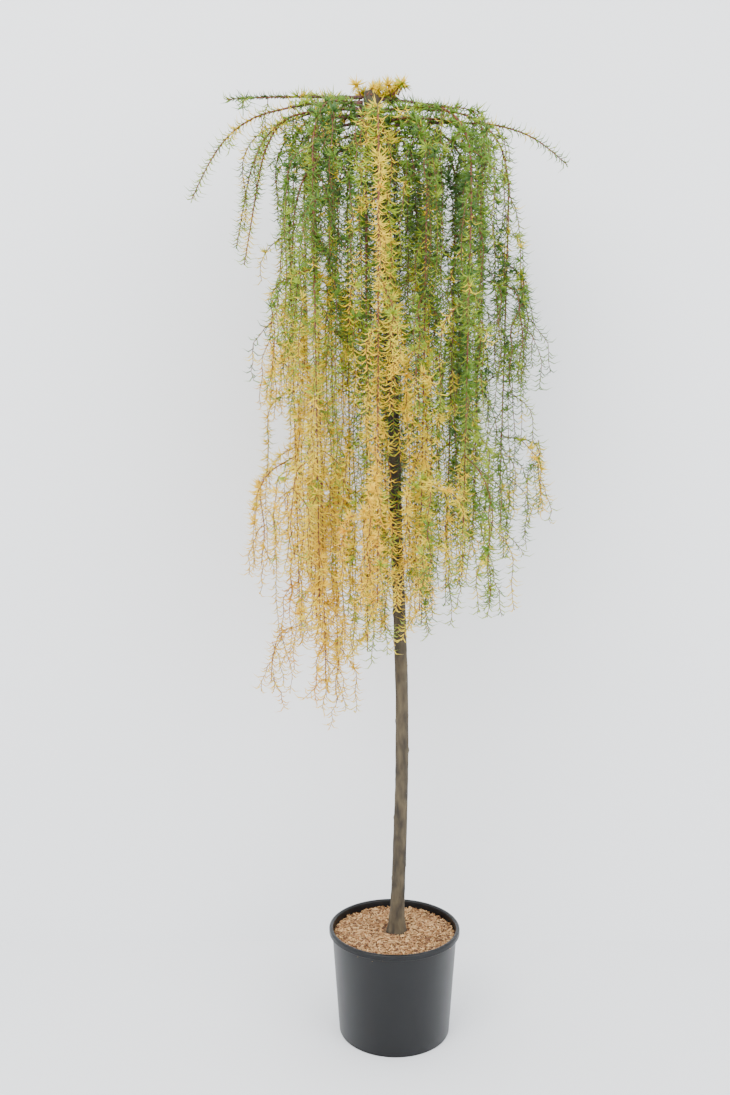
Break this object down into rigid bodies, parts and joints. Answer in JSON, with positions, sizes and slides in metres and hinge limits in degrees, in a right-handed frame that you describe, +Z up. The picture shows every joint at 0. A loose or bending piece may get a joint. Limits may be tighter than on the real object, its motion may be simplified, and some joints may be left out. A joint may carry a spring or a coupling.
{
  "type": "potted japanese larch",
  "caption": "Weeping larch grafted on a tall bare trunk, with arching boughs and a hanging curtain of autumn needles, in a tapered round nursery pot.",
  "frame": {"origin": "centre of the pot's flat underside", "axes": "+Z up along the trunk, +Y away from the viewer of the front, +X to the viewer's right"},
  "size_m": [0.9447, 0.7781, 2.2356],
  "materials": {
    "pot_plastic": "semi-gloss",
    "bark_mulch": "rough",
    "bark": "rough",
    "bough_bark": "satin",
    "needles": "matte"
  },
  "bodies": {
    "root": {"bough_back_1": "bough_bark", "bough_curtain_01": "bough_bark", "bough_curtain_02": "bough_bark", "bough_curtain_03": "bough_bark", "bough_curtain_04": "bough_bark", "bough_curtain_05": "bough_bark", "bough_curtain_06": "bough_bark", "bough_curtain_07": "bough_bark", "bough_curtain_08": "bough_bark", "bough_curtain_09": "bough_bark", "bough_curtain_10": "bough_bark", "bough_curtain_11": "bough_bark", "bough_curtain_12": "bough_bark", "bough_curtain_13": "bough_bark", "bough_curtain_14": "bough_bark", "bough_curtain_15": "bough_bark", "bough_curtain_16": "bough_bark", "bough_curtain_17": "bough_bark", "bough_curtain_18": "bough_bark", "bough_left_1": "bough_bark", "bough_left_2": "bough_bark", "bough_left_3": "bough_bark", "bough_left_4": "bough_bark", "bough_left_5": "bough_bark", "bough_left_6": "bough_bark", "bough_right_1": "bough_bark", "bough_right_2": "bough_bark", "foliage_back_1": "needles", "foliage_curtain_01": "needles", "foliage_curtain_02": "needles", "foliage_curtain_03": "needles", "foliage_curtain_04": "needles", "foliage_curtain_05": "needles", "foliage_curtain_06": "needles", "foliage_curtain_07": "needles", "foliage_curtain_08": "needles", "foliage_curtain_09": "needles", "foliage_curtain_10": "needles", "foliage_curtain_11": "needles", "foliage_curtain_12": "needles", "foliage_curtain_13": "needles", "foliage_curtain_14": "needles", "foliage_curtain_15": "needles", "foliage_curtain_16": "needles", "foliage_curtain_17": "needles", "foliage_curtain_18": "needles", "foliage_left_1": "needles", "foliage_left_2": "needles", "foliage_left_3": "needles", "foliage_left_4": "needles", "foliage_left_5": "needles", "foliage_left_6": "needles", "foliage_right_1": "needles", "foliage_right_2": "needles", "foliage_top": "needles", "pot": "pot_plastic", "soil": "bark_mulch", "trunk": "bark"}
  },
  "joints": []
}
